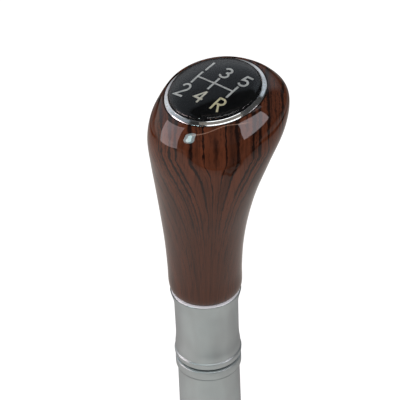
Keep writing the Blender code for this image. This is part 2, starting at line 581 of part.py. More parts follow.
def main():
    clear_scene()
    rubber = material("rubber", (0.020, 0.020, 0.021), 0.75)
    steel = material("steel", (0.55, 0.56, 0.57), 0.35, 1.0)
    brass = material("brass", (0.72, 0.55, 0.28), 0.35, 1.0)
    chrome = material("chrome", (0.80, 0.80, 0.80), 0.12, 1.0)
    silver = material("satin silver", (0.42, 0.43, 0.43), 0.38, 0.8)
    lacquer = material("black lacquer", (0.012, 0.012, 0.014), 0.22)
    wood = material("lacquered wood", (0.16, 0.045, 0.025), 0.18)
    foam = material("adhesive foam", (0.30, 0.30, 0.30), 0.9)
    gloss_black = material("gloss black", (0.008, 0.008, 0.010), 0.15)
    foil = material("silver foil", (0.70, 0.70, 0.68), 0.3, 1.0)
    clear = material("clear resin", (0.90, 0.92, 0.94), 0.03, alpha=0.25)
    make_ferrule(rubber, steel)
    make_lower_shaft(lacquer, brass)
    make_seam_ring(chrome)
    make_upper_shaft(lacquer, brass)
    make_lower_collar(silver)
    make_upper_collar(silver)
    make_bolt(steel, brass)
    make_knob(wood)
    make_marks(foil, make_dial(chrome, foam, gloss_black, clear))


main()
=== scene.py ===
import json
import math

import bmesh
import bpy
from mathutils import Matrix, Vector

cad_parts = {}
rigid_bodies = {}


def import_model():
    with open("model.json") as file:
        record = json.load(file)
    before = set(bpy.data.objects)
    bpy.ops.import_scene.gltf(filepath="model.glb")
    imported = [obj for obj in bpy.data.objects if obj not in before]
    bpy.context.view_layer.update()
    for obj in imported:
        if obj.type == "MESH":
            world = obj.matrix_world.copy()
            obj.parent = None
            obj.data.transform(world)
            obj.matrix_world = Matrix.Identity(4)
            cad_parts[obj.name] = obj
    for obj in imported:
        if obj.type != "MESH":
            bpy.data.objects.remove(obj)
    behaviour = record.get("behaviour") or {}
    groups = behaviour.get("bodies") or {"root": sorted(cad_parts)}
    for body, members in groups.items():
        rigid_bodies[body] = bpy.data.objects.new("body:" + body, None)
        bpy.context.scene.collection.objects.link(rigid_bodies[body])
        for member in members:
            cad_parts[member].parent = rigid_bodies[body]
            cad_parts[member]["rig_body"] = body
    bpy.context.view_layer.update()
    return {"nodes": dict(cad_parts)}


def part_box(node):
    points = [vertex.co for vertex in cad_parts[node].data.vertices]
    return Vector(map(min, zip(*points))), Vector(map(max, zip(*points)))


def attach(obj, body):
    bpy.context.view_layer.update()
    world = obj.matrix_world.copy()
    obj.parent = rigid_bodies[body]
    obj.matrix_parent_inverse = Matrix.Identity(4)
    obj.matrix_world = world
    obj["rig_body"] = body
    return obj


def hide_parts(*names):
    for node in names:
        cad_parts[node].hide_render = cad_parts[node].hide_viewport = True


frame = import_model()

# A swagger cane with a gear lever knob for a handle: fine shapes and finishes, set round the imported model.
# The cane stands upright, +Z up and +X towards the nose of the handle. Lengths are in metres.

clearance = 0.0003  # between pieces that touch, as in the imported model

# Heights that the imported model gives
tipFoot, lowerTop = (corner.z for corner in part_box("lower_shaft"))
seamFoot, seamTop = (corner.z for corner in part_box("seam_ring"))
upperFoot, upperTop = (corner.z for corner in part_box("upper_shaft"))
sleeveFoot, sleeveTop = (corner.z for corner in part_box("lower_collar"))
stubFoot, woodFoot = (corner.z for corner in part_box("upper_collar"))
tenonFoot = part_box("handle_knob")[0].z
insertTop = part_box("knob_insert")[1].z


def addObject(name, data):
    made = bpy.data.objects.new(name, data)
    bpy.context.scene.collection.objects.link(made)
    return made


# Camera

camera = {
    "azimuth": -19.709,
    "elevation": 37.816,
    "roll": -2.417,
    "distance": 1.6549,
    "aim": Vector((-0.00077, 0.00027, woodFoot + 0.04484)),
    "lens": 366.8,
    "sensor": 36.0,
    "clipEnd": 100.0,
}


def direction(azimuth, elevation):
    # in degrees, from -Y at 0 round towards +X
    turn, rise = math.radians(azimuth), math.radians(elevation)
    return Vector((math.sin(turn) * math.cos(rise), -math.cos(turn) * math.cos(rise), math.sin(rise)))


def placeCamera():
    back = direction(camera["azimuth"], camera["elevation"])
    turn, roll = math.radians(camera["azimuth"]), math.radians(camera["roll"])
    level = Vector((math.cos(turn), math.sin(turn), 0))
    above = back.cross(level)
    right = level * math.cos(roll) + above * math.sin(roll)
    upward = above * math.cos(roll) - level * math.sin(roll)
    data = bpy.data.cameras.new("camera")
    data.lens = camera["lens"]
    data.sensor_width = camera["sensor"]
    data.clip_end = camera["clipEnd"]
    made = addObject("camera", data)
    facing = Matrix((right, upward, back)).transposed().to_4x4()
    made.matrix_world = Matrix.Translation(camera["aim"] + back * camera["distance"]) @ facing
    bpy.context.scene.camera = made


placeCamera()


# Node helpers

def addNode(tree, kind, sockets=None, **settings):
    made = tree.nodes.new(kind)
    for name, value in settings.items():
        setattr(made, name, value)
    for name, value in (sockets or {}).items():
        if isinstance(value, bpy.types.NodeSocket):
            tree.links.new(value, made.inputs[name])
        else:
            made.inputs[name].default_value = value
    return made


def calculate(tree, operation, *values):
    return addNode(tree, "ShaderNodeMath", dict(enumerate(values)), operation=operation).outputs[0]


def product(tree, first, *others):
    for value in others:
        first = calculate(tree, "MULTIPLY", first, value)
    return first


def vectorMath(tree, operation, sockets, output="Vector"):
    return addNode(tree, "ShaderNodeVectorMath", sockets, operation=operation).outputs[output]


def separated(tree, vector):
    return addNode(tree, "ShaderNodeSeparateXYZ", {"Vector": vector}).outputs


def combined(tree, x, y, z):
    return addNode(tree, "ShaderNodeCombineXYZ", {"X": x, "Y": y, "Z": z}).outputs[0]


def stretched(tree, vector, scale):
    return addNode(tree, "ShaderNodeMapping", {"Vector": vector, "Scale": scale}).outputs[0]


def turnedAbout(tree, vector, angle):
    return addNode(tree, "ShaderNodeMapping", {"Vector": vector, "Rotation": (0, 0, angle)}).outputs[0]


def remap(tree, value, low, high, atLow=0.0, atHigh=1.0):
    return addNode(tree, "ShaderNodeMapRange", {
        "Value": value, "From Min": low, "From Max": high, "To Min": atLow, "To Max": atHigh},
        clamp=True).outputs["Result"]


def noise(tree, vector, scale, detail=2.0, roughness=0.5):
    return addNode(tree, "ShaderNodeTexNoise", {
        "Vector": vector, "Scale": scale, "Detail": detail, "Roughness": roughness}).outputs["Fac"]


def patches(tree, vector, grain, ramp):
    # a noise that is pulled apart between two limits
    return remap(tree, noise(tree, vector, *grain), *ramp)


def bump(tree, height, strength, distance):
    return addNode(tree, "ShaderNodeBump", {
        "Height": height, "Strength": strength, "Distance": distance}).outputs[0]


def blendColours(tree, factor, first, second):
    # a Mix node keeps its factor at input 0 and its two colours at inputs 6 and 7
    made = addNode(tree, "ShaderNodeMix", data_type="RGBA")
    for index, value in ((0, factor), (6, first), (7, second)):
        if isinstance(value, bpy.types.NodeSocket):
            tree.links.new(value, made.inputs[index])
        else:
            made.inputs[index].default_value = (*value, 1)
    return made.outputs[2]


def colourRamp(tree, factor, stops):
    # each stop is a position and either a colour or a shade of grey
    made = addNode(tree, "ShaderNodeValToRGB", {"Fac": factor})
    elements = made.color_ramp.elements
    elements[0].position, elements[1].position = stops[0][0], stops[-1][0]
    for index, (position, colour) in enumerate(stops):
        element = elements[index] if index in (0, len(stops) - 1) else elements.new(position)
        element.color = (*colour, 1) if isinstance(colour, tuple) else (colour, colour, colour, 1)
    return made.outputs["Color"]


def mixShaders(tree, factor, first, second):
    return addNode(tree, "ShaderNodeMixShader", {"Fac": factor, 1: first.outputs[0], 2: second.outputs[0]})


def turnedRings(tree, place, scale, detail):
    # the fine rings that a lathe leaves round the cane's axis
    parts = separated(tree, place)
    squares = [product(tree, parts[axis], parts[axis]) for axis in "XY"]
    away = calculate(tree, "SQRT", calculate(tree, "ADD", *squares))
    return noise(tree, combined(tree, 0.0, away, parts["Z"]), scale, detail)


def startMaterial(name, values):
    made = bpy.data.materials.new(name)
    made.use_nodes = True
    shader = made.node_tree.nodes["Principled BSDF"]
    for socket, value in values.items():
        shader.inputs[socket].default_value = (*value, 1) if isinstance(value, tuple) else value
    place = addNode(made.node_tree, "ShaderNodeTexCoord").outputs["Object"]
    return made, made.node_tree, shader, place


def connect(tree, shader, sockets):
    for name, output in sockets.items():
        tree.links.new(output, shader.inputs[name])


# Materials. In their dictionaries a grain is (scale, detail, roughness) of a noise, a ramp is (low, high,
# what it gives at low, what it gives at high), and a push is (strength, distance) of a bump.

woodLook = {
    # dark brown, brown and red brown
    "bands": ((0.34, (0.046, 0.0150, 0.0080)), (0.47, (0.080, 0.0240, 0.0115)),
              (0.62, (0.110, 0.0320, 0.0150))),
    "vein": (0.0075, 0.0032, 0.0026),
    "grainTurn": 19.7,  # degrees from the cane's own axes to the plane that the grain crosses
    "arrowFoot": 0.0015,  # how far the tips of the arrows stand from the axis, at the foot of the wood
    "arrowLean": 0.050,  # and how much further, for each metre up
    "arrowRound": 0.0010,
    "arrowTop": 0.080,  # above this height over the foot of the wood the grain runs straight
    "arrowDraw": 1.15,
    "arrowDrawMore": 14.0,
    # how the grain strays from its path: stretch of the noise, and reach
    "wander": ((48, 48, 15), 0.0050),
    "shiver": ((230, 230, 80), 0.0015),
    "jag": ((1200, 1200, 160), 0.0013),
    # spacing of the dark lines, their least and greatest width as a share of it, and drift of the pattern
    "veins": (0.0043, (0.05, 0.27), 0.0),
    "lines": (0.0017, (0.05, 0.24), 7.3),
    "veinShade": 0.95,
    "lineSwell": (0.36, 0.62),
    "swellAcross": 0.6,  # in spacings
    "swellAlong": 55,
    "lineEdge": (0.45, 1.25, 1.0, 0.0),
    "patchStretch": (120, 120, 18),
    "patches": ((1.0, 2.0), (0.40, 0.60, 0.12, 0.72)),
    "bandStretch": (190, 70, 11),
    "bandGrain": (1.0, 3.0),
    "poreStretch": (1300, 700, 26),
    "pores": ((1.0, 3.0, 0.6), (0.50, 0.72, 0.0, 0.55)),
    # ramps over the height above the foot of the wood
    "loose": (0.020, 0.080, 0.35, 1.0),
    "lineWidth": (0.040, 0.084, 0.36, 1.0),
    "lineShade": (0.010, 0.072, 0.34, 1.0),
    "bandContrast": (0.040, 0.085, 0.45, 1.0),
    # painted shade: the wood is darker low down and a little lighter near the shoulder, for light that falls
    # from above
    "paintedShadeByHeight": (0.050, 0.080, 0.80, 1.04),
    "ripple": (170, 1.0),
    "ripplePush": (0.035, 0.0004),
}


def grainLines(tree, across, along, spacing, widths, drift):
    # dark lines that follow the grain, each thicker and thinner on its way, and thin towards the foot
    look = woodLook
    swell = stretched(tree, combined(tree, across, drift, along),
                      (look["swellAcross"] / spacing, 1, look["swellAlong"]))
    width = product(tree, remap(tree, noise(tree, swell, 1.0), *look["lineSwell"], *widths),
                    remap(tree, along, *look["lineWidth"]))
    cells = addNode(tree, "ShaderNodeTexVoronoi", {
        "W": calculate(tree, "ADD", across, drift), "Scale": 1 / spacing},
        voronoi_dimensions="1D", feature="DISTANCE_TO_EDGE").outputs["Distance"]
    return remap(tree, calculate(tree, "DIVIDE", cells, width), *look["lineEdge"])


def woodMaterial():
    made, tree, shader, place = startMaterial("lacqueredWood", {
        "Roughness": 0.5, "Specular IOR Level": 0.0, "Coat Weight": 1.0, "Coat Roughness": 0.02,
        "Coat IOR": 1.5})
    look = woodLook
    turnedPlace = turnedAbout(tree, place, math.radians(look["grainTurn"]))
    parts = separated(tree, turnedPlace)
    height = calculate(tree, "SUBTRACT", parts["Z"], woodFoot)
    tip = calculate(tree, "MULTIPLY_ADD", height, look["arrowLean"], look["arrowFoot"])
    aside = calculate(tree, "SUBTRACT", parts["X"], tip)
    loose = remap(tree, height, *look["loose"])
    for scale, reach in (look["wander"], look["shiver"], look["jag"]):
        shift = calculate(tree, "SUBTRACT", noise(tree, stretched(tree, turnedPlace, scale), 1.0), 0.5)
        aside = calculate(tree, "MULTIPLY_ADD", product(tree, shift, loose), reach, aside)

    # straight lines at the top, which draw together below into arrows that point down
    roundness = look["arrowRound"]
    reach = calculate(tree, "SQRT", calculate(tree, "MULTIPLY_ADD", aside, aside, roundness ** 2))
    reach = calculate(tree, "SUBTRACT", reach, roundness)
    below = calculate(tree, "MAXIMUM", calculate(tree, "SUBTRACT", look["arrowTop"], height), 0.0)
    draw = calculate(tree, "MULTIPLY_ADD", below, look["arrowDrawMore"], look["arrowDraw"])
    drawn = calculate(tree, "ADD", reach, product(tree, below, draw))
    across = calculate(tree, "SQRT", product(tree, reach, drawn))

    veins = product(tree, grainLines(tree, across, height, *look["veins"]), look["veinShade"])
    patchy = patches(tree, stretched(tree, turnedPlace, look["patchStretch"]), *look["patches"])
    lines = product(tree, grainLines(tree, across, height, *look["lines"]), patchy)
    dark = product(tree, calculate(tree, "MAXIMUM", veins, lines), remap(tree, height, *look["lineShade"]))

    # broad bands of red and brown, and the fine streaks of the pores
    banded = stretched(tree, combined(tree, across, aside, height), look["bandStretch"])
    bands = calculate(tree, "SUBTRACT", noise(tree, banded, *look["bandGrain"]), 0.5)
    bands = calculate(tree, "MULTIPLY_ADD", bands, remap(tree, height, *look["bandContrast"]), 0.5)
    # painted shade: the colour is darker towards the foot of the wood and lighter near the shoulder
    paintedShadeByHeight = remap(tree, height, *look["paintedShadeByHeight"])
    colour = vectorMath(tree, "SCALE", {0: colourRamp(tree, bands, look["bands"]), "Scale": paintedShadeByHeight})
    streaks = stretched(tree, combined(tree, aside, parts["Y"], height), look["poreStretch"])
    for shade in (patches(tree, streaks, *look["pores"]), dark):
        colour = blendColours(tree, shade, colour, look["vein"])
    ripple = bump(tree, noise(tree, place, *look["ripple"]), *look["ripplePush"])
    connect(tree, shader, {"Base Color": colour, "Coat Normal": ripple})
    return made


satinLook = {
    "colour": (0.535, 0.600, 0.605),
    "scuff": (0.475, 0.520, 0.525),
    "tint": (0.62, 0.62, 0.64),
    "metallic": 0.75,
    "cloudStretch": (1, 1, 0.35),
    "clouds": ((90, 2.0), (0.40, 0.64)),
    "rough": ((160, 2.0), (0.3, 0.7, 0.31, 0.41)),
    "fineGrain": (5200, 1.0),
    "rings": (3800, 1.0),
    "ringShare": 0.5,
    "push": (0.04, 0.0002),
    # bare metal on the thread, with overspray
    "bare": (0.78, 0.78, 0.82),
    "bareGloss": 0.12,
    "bareHeights": (sleeveTop - 0.0034, sleeveTop - 0.0020, 1.0, 0.0),
    "ragged": (420, 3.0, 0.7),
    "raggedReach": 0.010,
    "overspray": (0.40, 0.41, 0.415),
    "sprayStretch": (1, 1, 0.6),
    "spray": ((900, 3.0, 0.7), (0.50, 0.62)),
    # painted highlight: a bright, less metallic line just under the foot of the wood, standing for the shine
    # of the lip's edge
    "line": (0.90, 0.90, 0.94),
    "paintedHighlightMetallic": 0.1,
    "paintedHighlightHeights": (woodFoot - 0.0007, woodFoot - 0.0005),
}


def satinMaterial(name, bareThreadAndPaintedHighlight=False):
    # satin silver over turned metal; the collar with the bare thread also has a painted highlight at its top,
    # a bright, less metallic line just under the wood that stands for the shine of its lip
    look = satinLook
    made, tree, shader, place = startMaterial(name, {
        "Metallic": look["metallic"], "Specular Tint": look["tint"]})
    height = separated(tree, place)["Z"]
    clouds = patches(tree, stretched(tree, place, look["cloudStretch"]), *look["clouds"])
    colour = blendColours(tree, clouds, look["colour"], look["scuff"])
    rough = patches(tree, place, *look["rough"])
    if bareThreadAndPaintedHighlight:
        ragged = calculate(tree, "SUBTRACT", noise(tree, place, *look["ragged"]), 0.5)
        ragged = calculate(tree, "MULTIPLY_ADD", ragged, look["raggedReach"], height)
        bare = remap(tree, ragged, *look["bareHeights"])
        spray = patches(tree, stretched(tree, place, look["sprayStretch"]), *look["spray"])
        metal = blendColours(tree, spray, look["bare"], look["overspray"])
        colour = blendColours(tree, bare, colour, metal)
        rough = calculate(tree, "MULTIPLY_ADD", bare, -look["bareGloss"], rough)
        # painted highlight: a bright band along the top edge of the collar, for the shine of its lip
        paintedHighlightMask = remap(tree, height, *look["paintedHighlightHeights"])
        colour = blendColours(tree, paintedHighlightMask, colour, look["line"])
        metallic = remap(tree, paintedHighlightMask, 0.0, 1.0, look["metallic"], look["paintedHighlightMetallic"])
        connect(tree, shader, {"Metallic": metallic})
    grain = calculate(tree, "MULTIPLY_ADD", turnedRings(tree, place, *look["rings"]), look["ringShare"],
                      noise(tree, place, *look["fineGrain"]))
    connect(tree, shader, {
        "Base Color": colour, "Roughness": rough, "Normal": bump(tree, grain, *look["push"])})
    return made


chromeLook = {
    "smearGrain": (240, 3.0, 0.6),
    "smearLimits": (0.35, 0.7),
    "specks": ((1500, 2.0, 0.6), (0.56, 0.68, 0.0, 0.8)),
    "ripple": (900, 2.0),
    "push": (0.08, 0.0002),
}


def chromeMaterial(name, base, speck, rough):
    look = chromeLook
    made, tree, shader, place = startMaterial(name, {"Metallic": 1.0})
    smears = patches(tree, place, look["smearGrain"], (*look["smearLimits"], *rough))
    specks = patches(tree, place, *look["specks"])
    ripple = bump(tree, noise(tree, place, *look["ripple"]), *look["push"])
    colour = blendColours(tree, specks, base, speck)
    connect(tree, shader, {"Base Color": colour, "Roughness": smears, "Normal": ripple})
    return made


dialLook = {
    "black": (0.0045, 0.0050, 0.0055),
    "dusty": (0.012, 0.013, 0.014),
    "dust": ((1500, 2.0), (0.62, 0.8)),
    # the clear dome over it
    "clear": (0.985, 0.992, 1.0),
    "ripple": (60, 1.0),
    "push": (0.03, 0.0005),
}


def dialMaterial():
    made, tree, shader, place = startMaterial("dialBlack", {"Specular IOR Level": 0.0, "Roughness": 0.6})
    dust = patches(tree, place, *dialLook["dust"])
    connect(tree, shader, {"Base Color": blendColours(tree, dust, dialLook["black"], dialLook["dusty"])})
    return made


def resinMaterial():
    made, tree, shader, place = startMaterial("dialResin", {
        "Base Color": dialLook["clear"], "Transmission Weight": 1.0, "IOR": 1.49, "Roughness": 0.0})
    ripple = bump(tree, noise(tree, place, *dialLook["ripple"]), *dialLook["push"])
    connect(tree, shader, {"Normal": ripple})
    return made


foilWear = ((1400, 3.0, 0.7), (0.52, 0.70))


def foilMaterial(name, light, worn):
    made, tree, shader, place = startMaterial(name, {
        "Metallic": 0.35, "Roughness": 0.45, "Specular IOR Level": 0.2})
    wear = patches(tree, place, *foilWear)
    connect(tree, shader, {"Base Color": blendColours(tree, wear, light, worn)})
    return made


lacquerLook = {
    "black": (0.0045, 0.0045, 0.0055),
    "pale": (0.011, 0.010, 0.0125),
    "grainStretch": (620, 620, 9),
    "grain": (1.0, 3.0, 0.6),
    "grainLimits": (0.45, 0.75),
    "push": (0.06, 0.0003),
    "rough": ((300, 2.0), (0.4, 0.7, 0.04, 0.11)),
}


def lacquerMaterial():
    look = lacquerLook
    made, tree, shader, place = startMaterial("shaftLacquer", {
        "Roughness": 0.35, "Specular IOR Level": 0.15, "Coat Weight": 1.0, "Coat IOR": 1.36})
    grain = noise(tree, stretched(tree, place, look["grainStretch"]), *look["grain"])
    colour = blendColours(tree, remap(tree, grain, *look["grainLimits"]), look["black"], look["pale"])
    rough = patches(tree, place, *look["rough"])
    connect(tree, shader, {
        "Base Color": colour, "Coat Roughness": rough, "Coat Normal": bump(tree, grain, *look["push"])})
    return made


rubberLook = {
    "black": (0.0125, 0.0125, 0.0135),
    "dusty": (0.075, 0.070, 0.062),
    "dust": ((220, 4.0, 0.65), (0.46, 0.70)),
    "dustHeights": (0.0, 0.010, 1.0, 0.15),  # over the floor
    "rough": (0.55, 0.78),  # clean and dusty
    "grain": (2600, 2.0),
    "push": (0.25, 0.0002),
}


def rubberMaterial():
    look = rubberLook
    made, tree, shader, place = startMaterial("tipRubber", {"Specular IOR Level": 0.35})
    dust = patches(tree, place, *look["dust"])
    worn = product(tree, dust, remap(tree, separated(tree, place)["Z"], *look["dustHeights"]))
    colour = blendColours(tree, worn, look["black"], look["dusty"])
    rough = remap(tree, dust, 0.0, 1.0, *look["rough"])
    grain = bump(tree, noise(tree, place, *look["grain"]), *look["push"])
    connect(tree, shader, {"Base Color": colour, "Roughness": rough, "Normal": grain})
    return made


turnedMetalLook = {
    "rings": (4200, 2.0),
    "ringLimits": (0.3, 0.7),
    "ringGloss": (-0.06, 0.08),  # what the rings take from the roughness and add to it
    "stain": ((320, 3.0), (0.45, 0.72)),
    "push": (0.12, 0.0002),
}


def turnedMetalMaterial(name, light, dark, roughness):
    look = turnedMetalLook
    made, tree, shader, place = startMaterial(name, {"Metallic": 1.0})
    rings = turnedRings(tree, place, *look["rings"])
    stain = patches(tree, place, *look["stain"])
    rough = remap(tree, rings, *look["ringLimits"], *(roughness + change for change in look["ringGloss"]))
    colour = blendColours(tree, stain, light, dark)
    connect(tree, shader, {
        "Base Color": colour, "Roughness": rough, "Normal": bump(tree, rings, *look["push"])})
    return made


foamLook = {"cell": (0.20, 0.20, 0.20), "wall": (0.34, 0.34, 0.33), "cellScale": 3200, "push": (0.4, 0.0002)}


def foamMaterial():
    made, tree, shader, place = startMaterial("padFoam", {"Roughness": 0.9})
    cells = addNode(tree, "ShaderNodeTexVoronoi", {
        "Vector": place, "Scale": foamLook["cellScale"]}).outputs["Distance"]
    colour = blendColours(tree, cells, foamLook["cell"], foamLook["wall"])
    connect(tree, shader, {"Base Color": colour, "Normal": bump(tree, cells, *foamLook["push"])})
    return made


finishes = {
    "wood": woodMaterial(),
    "satin": satinMaterial("satinSilver"),
    "satinBareAndPaintedHighlight": satinMaterial("satinSilverBareThreadAndPaintedHighlight", bareThreadAndPaintedHighlight=True),
    "chrome": chromeMaterial("bezelChrome", (0.86, 0.88, 0.89), (0.58, 0.50, 0.38), (0.05, 0.14)),
    "seam": chromeMaterial("seamChrome", (0.78, 0.78, 0.80), (0.55, 0.53, 0.50), (0.12, 0.30)),
    "dial": dialMaterial(),
    "resin": resinMaterial(),
    "foil": foilMaterial("silverFoil", (0.52, 0.54, 0.53), (0.36, 0.37, 0.36)),
    "creamFoil": foilMaterial("creamFoil", (0.62, 0.61, 0.52), (0.42, 0.41, 0.34)),
    "paleGoldFoil": foilMaterial("paleGoldFoil", (0.68, 0.64, 0.42), (0.48, 0.43, 0.27)),
    "lacquer": lacquerMaterial(),
    "rubber": rubberMaterial(),
    "brass": turnedMetalMaterial("turnedBrass", (0.78, 0.60, 0.30), (0.55, 0.38, 0.18), 0.26),
    "steel": turnedMetalMaterial("turnedSteel", (0.58, 0.58, 0.59), (0.40, 0.40, 0.41), 0.30),
    "foam": foamMaterial(),
}
print("materials made:", len(finishes))


# Shape helpers

filletSteps = 4
mergeDistance = 1e-6
threadForm = {"crest": 0.15, "flank": 0.25}  # half of the crest and one flank, as shares of the pitch


def cornersFrom(radius, height, offsets):
    # corners for an outline, each given by how far out and up it lies, and its fillet
    return [(radius + out, height + up, *fillet) for out, up, *fillet in offsets]


def softened(corners):
    # corners are (radius, height) or (radius, height, fillet), and each fillet becomes a short curve;
    # the first and the last have none
    points = []
    for index, corner in enumerate(corners):
        here = Vector(corner[:2])
        if len(corner) < 3:
            points.append(here)
            continue
        before, after = Vector(corners[index - 1][:2]), Vector(corners[index + 1][:2])
        start = here + (before - here).normalized() * corner[2]
        end = here + (after - here).normalized() * corner[2]
        for step in range(filletSteps + 1):
            share = step / filletSteps
            points.append(start * (1 - share) ** 2 + here * 2 * share * (1 - share) + end * share ** 2)
    return points


def turnedShape(outline, segments, closed=True):
    shape = bmesh.new()
    points = [shape.verts.new((point[0], 0, point[1])) for point in outline]
    edges = [shape.edges.new(pair) for pair in zip(points, points[1:])]
    if closed:
        edges.append(shape.edges.new((points[-1], points[0])))
    bmesh.ops.spin(shape, geom=points + edges, cent=(0, 0, 0), axis=(0, 0, 1), angle=2 * math.pi,
                   steps=segments, use_merge=True)
    return shape


def threadRuns(low, high, pitch, perPitch):
    # heights close enough together for the turns of a thread
    count = int((high - low) / pitch * perPitch)
    return [low + (high - low) * step / count for step in range(count + 1)]


def cutThread(shape, crest, depth, pitch, low, high):
    # pushes the skin of a rod in between the turns of its thread, which fades out at both ends
    for vert in shape.verts:
        away = math.hypot(vert.co.x, vert.co.y)
        if abs(away - crest) > depth / 2 or not low < vert.co.z < high:
            continue
        turn = (vert.co.z / pitch - math.atan2(vert.co.y, vert.co.x) / (2 * math.pi)) % 1.0
        flank = min(max((abs(turn - 0.5) - threadForm["crest"]) / threadForm["flank"], 0.0), 1.0)
        fade = min((vert.co.z - low) / pitch, (high - vert.co.z) / pitch, 1.0)
        shrink = 1 - depth * flank * fade / away
        vert.co.x *= shrink
        vert.co.y *= shrink


def addPiece(name, shape, finish, node, place=None, sharp=38.0):
    if place:
        bmesh.ops.transform(shape, matrix=place, verts=shape.verts)
    bmesh.ops.remove_doubles(shape, verts=shape.verts, dist=mergeDistance)
    bmesh.ops.recalc_face_normals(shape, faces=shape.faces)
    if shape.calc_volume(signed=True) < 0:
        bmesh.ops.reverse_faces(shape, faces=shape.faces)
    mesh = bpy.data.meshes.new(name)
    shape.to_mesh(mesh)
    shape.free()
    mesh.shade_smooth()
    mesh.set_sharp_from_angle(angle=math.radians(sharp))
    mesh.materials.append(finishes[finish])
    piece = addObject(name, mesh)
    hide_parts(node)
    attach(piece, frame["nodes"][node]["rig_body"])


# Wooden knob

knob = {
    # from its foot to its shoulder: height and reach at the back and at the nose, and half of its depth
    "sections": (
        (0.0000, -0.0135, 0.0000, 0.0135, 0.0136),
        (0.0011, -0.0145, 0.0011, 0.0145, 0.0149),
        (0.0039, -0.0151, 0.0039, 0.0151, 0.0160),
        (0.0119, -0.0152, 0.0129, 0.0152, 0.0169),
        (0.0239, -0.0157, 0.0269, 0.0162, 0.0189),
        (0.0369, -0.0168, 0.0409, 0.0186, 0.0213),
        (0.0499, -0.0181, 0.0559, 0.0227, 0.0244),
        (0.0629, -0.0196, 0.0699, 0.0291, 0.0266),
        (0.0749, -0.0207, 0.0819, 0.0356, 0.0270),
        (0.0839, -0.0194, 0.0914, 0.0375, 0.0256),
        (0.0899, -0.0167, 0.0969, 0.0343, 0.0234),
    ),
    "rim": 0.0007,  # wood left round the bezel
    "rimRound": 0.00015,
    "rimLift": 0.00005,
    "tenon": 0.0110,
    "tenonEdge": 0.0005,
    "insertHole": 0.0045,
    "segments": 128,
    "ringsPerSection": 9,
    "sharp": 50,
}
dial = {
    "x": 0.0076,
    "height": 0.0970,  # above the foot of the wood
    "tilt": 9.1,
    "radius": 0.0210,
    "seat": 0.0022,
    "pad": 0.0008,
    "plate": 0.0010,
    "plateRound": 0.0003,
    "marks": 0.0003,
    "faceDrop": 0.00002,  # of the plate under the level of the marks
    "domeDrop": 0.00006,  # the dome is cast on the plate, so the marks lie inside it
    "domeEdge": 0.0008,
    "crown": 0.0032,
    "domeSteps": 24,
    # the bezel slopes outward between two steeper edges, which shine as fine lines
    "width": 0.0019,
    "proud": 0.0012,
    "innerEdge": ((0.0, -0.00006, 0.00005), (0.00012, 0.0, 0.00006), (0.00034, -0.00022, 0.00005)),
    "outerFall": 0.00072,
    "outerEdge": ((-0.00038, 0.0, 0.00005), (0.0, -0.00038, 0.0001)),
    "segments": 128,
}
dialPlace = (Matrix.Translation((dial["x"], 0, woodFoot + dial["height"]))
             @ Matrix.Rotation(-math.radians(dial["tilt"]), 4, "Y"))


def smoothBetween(values, share):
    # a smooth curve through evenly spaced values, at a share from 0 to 1 of its way
    spans = len(values) - 1
    index = min(int(share * spans), spans - 1)
    t = share * spans - index
    low, high = values[index], values[index + 1]
    before = values[max(index - 1, 0)]
    after = values[index + 2] if index + 2 <= spans else 3 * (high - low) + before  # keeps bending to its end
    return low + 0.5 * t * (high - before + t * (2 * before - 5 * low + 4 * high - after
                                                 + t * (3 * (low - high) + after - before)))


def sectionPlace(backHeight, backReach, noseHeight, noseReach, depth):
    # turns the unit circle into a leaning section of the knob
    reach = Vector(((noseReach - backReach) / 2, 0, (noseHeight - backHeight) / 2))
    centre = Vector(((noseReach + backReach) / 2, 0, woodFoot + clearance + (noseHeight + backHeight) / 2))
    columns = (reach, Vector((0, depth, 0)), Vector((-reach.z, 0, reach.x)))
    return Matrix.Translation(centre) @ Matrix(columns).transposed().to_4x4()


def roundPlace(radius, height, lean=Matrix.Identity(4)):
    return lean @ Matrix.Translation((0, 0, height)) @ Matrix.Scale(radius, 4)


def makeKnob():
    rim = dial["radius"] + knob["rim"]
    rise = rim * math.sin(math.radians(dial["tilt"]))
    run = rim * math.cos(math.radians(dial["tilt"]))
    shoulder = (dial["height"] - rise, dial["x"] - run, dial["height"] + rise, dial["x"] + run, rim)
    columns = list(zip(*knob["sections"], shoulder))
    count = len(knob["sections"]) * knob["ringsPerSection"]
    recess = dial["radius"] + clearance
    hole, tenon, edge = knob["insertHole"], knob["tenon"], knob["tenonEdge"]
    # its tenon from the inside out, then the skin, then the recess for the dial
    stations = [roundPlace(hole, insertTop + clearance), roundPlace(hole, tenonFoot),
                roundPlace(tenon - edge, tenonFoot), roundPlace(tenon, tenonFoot + edge),
                roundPlace(tenon, woodFoot + clearance)]
    stations += [sectionPlace(*(smoothBetween(column, step / count) for column in columns))
                 for step in range(count + 1)]
    stations += [roundPlace(rim - knob["rimRound"], knob["rimLift"], dialPlace),
                 roundPlace(recess, -knob["rimLift"], dialPlace),
                 roundPlace(recess, -dial["seat"] - clearance, dialPlace)]

    shape = bmesh.new()
    bmesh.ops.create_circle(shape, cap_ends=True, segments=knob["segments"], radius=1, matrix=stations[0])
    edges = list(shape.edges)
    for before, after in zip(stations, stations[1:]):
        grown = bmesh.ops.extrude_edge_only(shape, edges=edges)["geom"]
        edges = [part for part in grown if isinstance(part, bmesh.types.BMEdge)]
        verts = [part for part in grown if isinstance(part, bmesh.types.BMVert)]
        bmesh.ops.transform(shape, matrix=after @ before.inverted(), verts=verts)
    bmesh.ops.contextual_create(shape, geom=edges)
    addPiece("knob_wood", shape, "wood", "handle_knob", sharp=knob["sharp"])


makeKnob()
print("knob made")


# Dial: plate, clear dome, bezel

